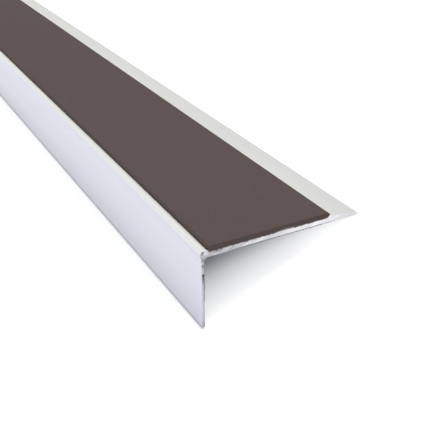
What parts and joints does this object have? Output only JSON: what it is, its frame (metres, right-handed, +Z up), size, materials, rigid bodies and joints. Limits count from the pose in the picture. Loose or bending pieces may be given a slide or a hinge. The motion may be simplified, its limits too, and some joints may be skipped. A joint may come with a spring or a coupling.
{
  "type": "stair nosing",
  "caption": "Extruded aluminium angle with a wide flat non-slip strip bonded into its tread, fitted over a step's edge to protect and mark it.",
  "frame": {"origin": "middle of the bounding box's underside, on the floor that the nosing lies on", "axes": "+X along the nosing, +Y from the riser leg towards the tip of the tread, +Z up; it lies on the foot of its riser leg and the tip of its tread"},
  "size_m": [0.9, 0.0714, 0.0288],
  "materials": {
    "aluminium": "satin",
    "strip": "matt"
  },
  "bodies": {
    "root": {"aluminium_profile": "aluminium", "insert_strip": "strip"}
  },
  "joints": []
}
